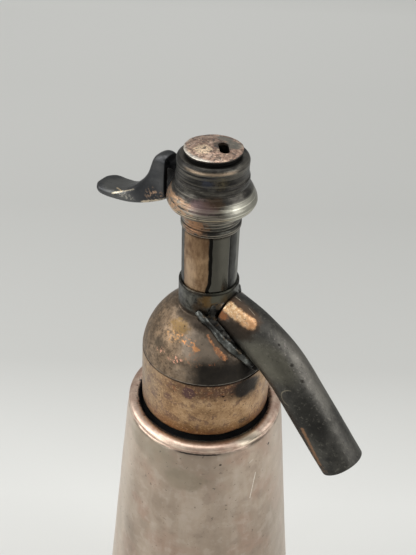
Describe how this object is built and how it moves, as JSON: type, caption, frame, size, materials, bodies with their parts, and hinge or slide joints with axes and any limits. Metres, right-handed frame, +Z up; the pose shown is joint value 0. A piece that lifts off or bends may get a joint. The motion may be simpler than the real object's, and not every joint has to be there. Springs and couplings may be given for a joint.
{
  "type": "soda siphon",
  "caption": "Siphon bottle in a tapered sheet-metal jacket, with a domed screw-on head, a curved downward spout and a sprung thumb lever that lifts the valve.",
  "frame": {"origin": "middle of the foot's resting face", "axes": "+Z up along the bottle, +X towards the spout, lever towards -X"},
  "size_m": [0.119, 0.108, 0.321],
  "materials": {
    "silver_plate": "satin silver plate, lightly scratched",
    "worn_gilt": "silver plate worn through to brass and copper",
    "brown_plate": "plate tarnished brown and grey",
    "dark_plate": "plate tarnished nearly black, with fine turning lines",
    "coppered_plate": "mottled copper and silver",
    "black_patina": "satin black patina",
    "solder": "dull solder",
    "bare_brass": "machined",
    "steel_wire": "drawn wire",
    "bottle_glass": "clear, faintly green",
    "black_rubber": "matt",
    "red_rubber": "matt",
    "cork": "pressed cork",
    "seal_leather": "oiled"
  },
  "bodies": {
    "siphon": {"jacket": "silver_plate", "foot_ring": "silver_plate", "base_plate": "silver_plate", "base_screws": "bare_brass", "base_cushion": "cork", "glass_bottle": "bottle_glass", "neck_cushion": "black_rubber", "dip_tube": "bottle_glass", "collar_nut": "worn_gilt", "split_collar_left": "bare_brass", "split_collar_right": "bare_brass", "lip_gasket": "red_rubber", "head_dome": "brown_plate", "neck_barrel": "worn_gilt", "spout": "dark_plate", "spout_saddle": "solder", "dip_tube_bush": "black_rubber", "valve_seat": "bare_brass", "valve_spring": "steel_wire", "packing_washer": "bare_brass", "spindle_packing": "seal_leather", "gland_nut": "bare_brass", "lever_housing": "dark_plate", "lever_pin": "bare_brass", "cap_washer": "seal_leather", "top_cap": "coppered_plate"},
    "lever": {"lever": "black_patina"},
    "valve": {"valve_spindle": "bare_brass", "spindle_head": "bare_brass", "valve_holder": "bare_brass", "valve_disc": "black_rubber", "spring_collar": "bare_brass"}
  },
  "joints": [
    {"name": "lever_pivot", "type": "hinge", "parent": "siphon", "child": "lever", "pos_m": [-0.0085, 0, 0.3095], "axis": [0, -1, 0], "range_deg": [0, 9], "stiffness_Nm_per_rad": 0.3, "springref_deg": -34.38},
    {"name": "valve_lift", "type": "slide", "parent": "siphon", "child": "valve", "axis": [0, 0, 1], "range_m": [0, 0.00134], "deforming": ["valve_spring"]}
  ],
  "couplings": [
    {"joint": "valve_lift", "follows": "lever_pivot", "m_per_rad": 0.0085}
  ]
}
